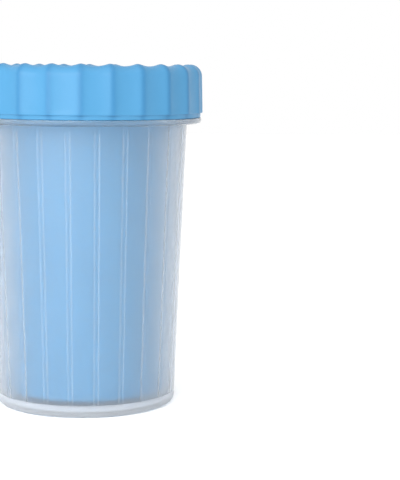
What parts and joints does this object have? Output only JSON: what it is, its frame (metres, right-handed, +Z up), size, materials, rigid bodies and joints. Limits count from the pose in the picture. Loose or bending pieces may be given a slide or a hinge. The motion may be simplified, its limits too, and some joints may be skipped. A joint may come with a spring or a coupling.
{
  "type": "paw washer cup",
  "caption": "Tapered translucent washing cup with a lift-out silicone brush sleeve and a scalloped collar that twists to lock the sleeve on the rim",
  "frame": {"origin": "centre of the underside of the base, on the surface that the cup stands on", "axes": "+Z up along the cup's axis, -Y is the front, +X to the right seen from the front"},
  "size_m": [0.0984, 0.0984, 0.143],
  "materials": {
    "frosted_cup": "frosted translucent polypropylene",
    "collar_plastic": "satin moulded plastic",
    "silicone_sleeve": "soft matte silicone",
    "silicone_bristles": "soft matte silicone"
  },
  "bodies": {
    "cup": {"cup_body": "frosted_cup"},
    "sleeve": {"brush_sleeve": "silicone_sleeve", "bristle_row_01": "silicone_bristles", "bristle_row_02": "silicone_bristles", "bristle_row_03": "silicone_bristles", "bristle_row_04": "silicone_bristles", "bristle_row_05": "silicone_bristles", "bristle_row_06": "silicone_bristles", "bristle_row_07": "silicone_bristles", "bristle_row_08": "silicone_bristles", "bristle_row_09": "silicone_bristles", "bristle_row_10": "silicone_bristles", "bristle_row_11": "silicone_bristles", "bristle_row_12": "silicone_bristles", "bristle_row_13": "silicone_bristles", "bristle_row_14": "silicone_bristles"},
    "collar": {"twist_collar": "collar_plastic"}
  },
  "joints": [
    {"name": "sleeve_lift", "type": "slide", "parent": "cup", "child": "sleeve", "axis": [0, 0, 1], "range_m": [0, 0.142]},
    {"name": "collar_turn", "type": "hinge", "parent": "sleeve", "child": "collar", "pos_m": [0, 0, 0.131], "axis": [0, 0, 1], "range_deg": [-60, 0]}
  ]
}
